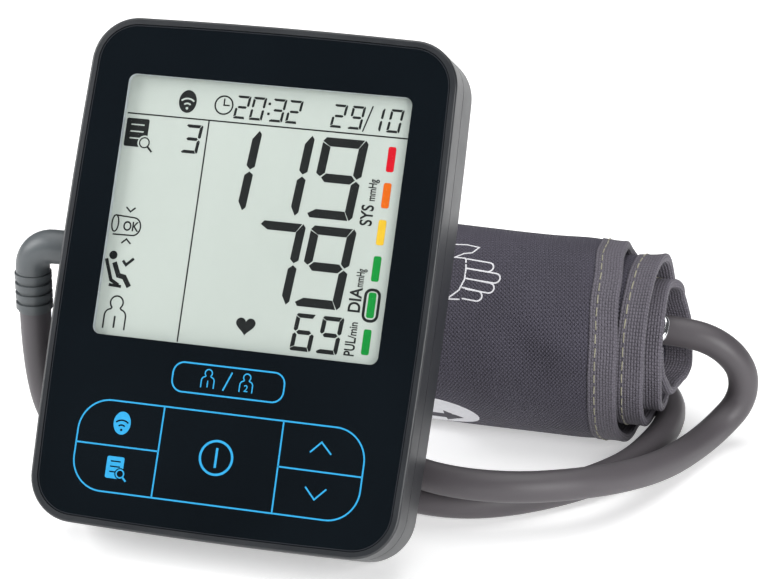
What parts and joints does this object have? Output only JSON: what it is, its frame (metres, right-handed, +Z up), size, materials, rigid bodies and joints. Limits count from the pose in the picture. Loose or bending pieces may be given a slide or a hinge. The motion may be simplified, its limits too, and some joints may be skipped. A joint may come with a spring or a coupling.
{
  "type": "upper arm blood pressure monitor with cuff",
  "caption": "Table-top blood pressure monitor leaning on its foot, with a rolled-up upper-arm cuff joined to it by a rubber air hose.",
  "frame": {"origin": "on the table, under the middle of the monitor and rolled cuff taken together, without the hose", "axes": "+X to the right as one reads the display, along the cuff's roll; +Y away from the reader; +Z up"},
  "size_m": [0.1982, 0.1685, 0.1301],
  "materials": {
    "case_plastic": "satin black-grey moulding",
    "panel_gloss": "polished black",
    "window_clear": "clear",
    "lcd_face": "pale green-grey polariser",
    "lcd_ink": "dark liquid crystal segments",
    "print_blue": "printed",
    "print_white": "printed",
    "print_colour": "printed scale bars, red to green",
    "soft_seal": "matt",
    "clear_guide": "frosted acrylic",
    "board": "green solder mask",
    "chip": "moulded epoxy",
    "steel": "plain",
    "chrome": "polished plating",
    "battery_wrap": "printed sleeve",
    "pump_plastic": "natural nylon",
    "foot_rubber": "matt",
    "cuff_fabric": "woven nylon, dark purple-grey",
    "cuff_tape": "plain woven binding tape",
    "cuff_fill": "soft sheet",
    "hose_rubber": "matt warm grey",
    "plug_plastic": "satin blue-grey"
  },
  "bodies": {
    "root": {"front_housing": "case_plastic", "front_panel": "panel_gloss", "window_pane": "window_clear", "display_gasket": "soft_seal", "lcd_glass": "lcd_face", "light_guide": "clear_guide", "contact_strip": "soft_seal", "lcd_frame": "case_plastic", "key_board": "board", "main_board": "board", "board_link": "chip", "board_chips": "chip", "buzzer": "chip", "pressure_sensor": "pump_plastic", "rear_housing": "case_plastic", "batteries": "battery_wrap", "battery_contacts": "steel", "housing_screws": "steel", "board_screws": "steel", "rubber_feet": "foot_rubber", "motor_case": "steel", "pump_head": "pump_plastic", "pump_diaphragm": "soft_seal", "valve_body": "pump_plastic", "cuff_socket": "case_plastic", "air_manifold": "pump_plastic", "air_tubes": "cuff_fill", "cuff_outer": "cuff_fabric", "cuff_padding": "cuff_fill", "cuff_bladder": "cuff_fill", "cuff_inner": "cuff_fabric", "left_binding": "cuff_tape", "right_binding": "cuff_tape", "hook_tape": "cuff_tape", "cuff_bar": "chrome", "hose_nipple": "plug_plastic", "hose_plug": "plug_plastic", "hose_sleeve": "plug_plastic", "air_hose": "hose_rubber"},
    "door": {"battery_door": "case_plastic"},
    "rotor": {"motor_rotor": "steel"},
    "plunger": {"valve_plunger": "steel"}
  },
  "joints": [
    {"name": "door_tilt", "type": "hinge", "parent": "root", "child": "door", "pos_m": [-0.024, -0.00615, 0.05523], "axis": [-1, 0, 0], "range_deg": [0, 60]},
    {"name": "pump_spin", "type": "hinge", "parent": "root", "child": "rotor", "pos_m": [-0.024, -0.02804, 0.02919], "axis": [1, 0, 0], "continuous": true},
    {"name": "valve_slide", "type": "slide", "parent": "root", "child": "plunger", "axis": [0, 0.4848, 0.8746], "range_m": [0, 0.0008], "stiffness_N_per_m": 150, "springref_m": -0.001}
  ]
}
